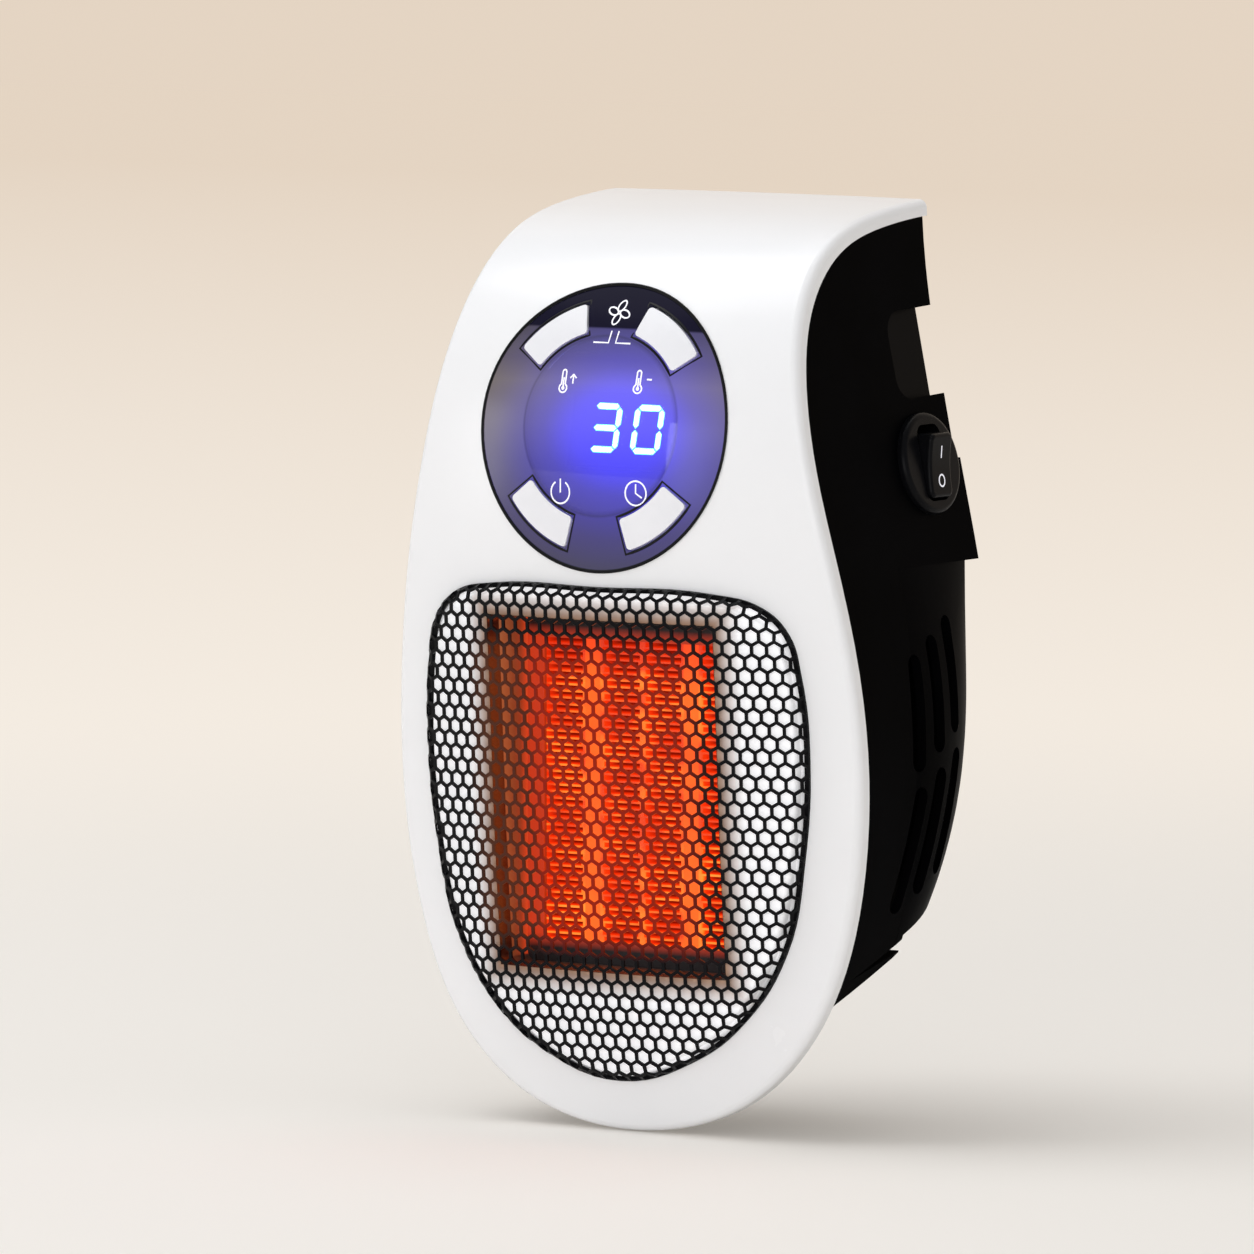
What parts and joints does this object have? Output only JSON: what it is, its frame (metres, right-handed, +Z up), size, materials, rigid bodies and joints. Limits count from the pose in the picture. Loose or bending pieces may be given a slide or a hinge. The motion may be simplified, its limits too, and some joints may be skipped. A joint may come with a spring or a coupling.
{
  "type": "space heater",
  "caption": "Plug-in fan heater with a tall crowned front, oval honeycomb outlet, round touch-key display, side rocker switch and turning wall plug.",
  "frame": {"origin": "centre of the plug's face, midway between its two pins where they leave it, when the heater is plugged in upright", "axes": "+X to the heater's left-hand side as it faces a person, which is the right in the picture, +Y into the wall along the plug pins, +Z up"},
  "size_m": [0.1168, 0.1097, 0.1978],
  "materials": {
    "gloss_white": "gloss",
    "grille_black": "satin",
    "lens_dark": "gloss",
    "key_white": "satin",
    "board": "satin",
    "display": "gloss",
    "black_plastic": "matte",
    "satin_black": "satin",
    "grey_plastic": "matte",
    "ceramic": "matte",
    "hot_fins": "satin",
    "aluminium": "satin",
    "steel": "satin",
    "brass": "satin",
    "pin_metal": "polished"
  },
  "bodies": {
    "heater": {"front_panel": "gloss_white", "grille": "grille_black", "control_lens": "lens_dark", "control_board": "board", "key_switches": "black_plastic", "display_module": "display", "duct": "black_plastic", "heater_frame": "black_plastic", "ceramic_bars": "ceramic", "heater_plates": "aluminium", "heater_fins": "hot_fins", "thermal_cutoff": "black_plastic", "fan_shroud": "black_plastic", "fan_motor": "steel", "power_board": "board", "power_parts": "black_plastic", "rear_housing": "satin_black", "switch_bezel": "black_plastic", "switch_terminals": "brass", "plug_retainer": "black_plastic", "case_screws": "steel", "board_screws": "steel", "frame_screws": "steel", "retainer_screws": "steel"},
    "key_up_left": {"key_up_left": "key_white"},
    "key_up_right": {"key_up_right": "key_white"},
    "key_down_left": {"key_down_left": "key_white"},
    "key_down_right": {"key_down_right": "key_white"},
    "rocker": {"switch_rocker": "black_plastic"},
    "impeller": {"fan_impeller": "grey_plastic", "motor_shaft": "steel"},
    "plug": {"plug_turntable": "satin_black", "plug_pins": "pin_metal"}
  },
  "joints": [
    {"name": "key_up_left_press", "type": "slide", "parent": "heater", "child": "key_up_left", "axis": [0, 0.9816, -0.1908], "range_m": [0, 0.0006], "stiffness_N_per_m": 300},
    {"name": "key_up_right_press", "type": "slide", "parent": "heater", "child": "key_up_right", "axis": [0, 0.9816, -0.1908], "range_m": [0, 0.0006], "stiffness_N_per_m": 300},
    {"name": "key_down_left_press", "type": "slide", "parent": "heater", "child": "key_down_left", "axis": [0, 0.9816, -0.1908], "range_m": [0, 0.0006], "stiffness_N_per_m": 300},
    {"name": "key_down_right_press", "type": "slide", "parent": "heater", "child": "key_down_right", "axis": [0, 0.9816, -0.1908], "range_m": [0, 0.0006], "stiffness_N_per_m": 300},
    {"name": "rocker_tilt", "type": "hinge", "parent": "heater", "child": "rocker", "pos_m": [0.04702, -0.033, 0.00878], "axis": [0, 1, 0], "range_deg": [-21, 0]},
    {"name": "impeller_spin", "type": "hinge", "parent": "heater", "child": "impeller", "pos_m": [0, -0.0476, -0.0535], "axis": [0, 1, 0], "continuous": true},
    {"name": "plug_turn", "type": "hinge", "parent": "heater", "child": "plug", "pos_m": [0, 0, 0], "axis": [0, 1, 0], "range_deg": [-90, 90]}
  ]
}
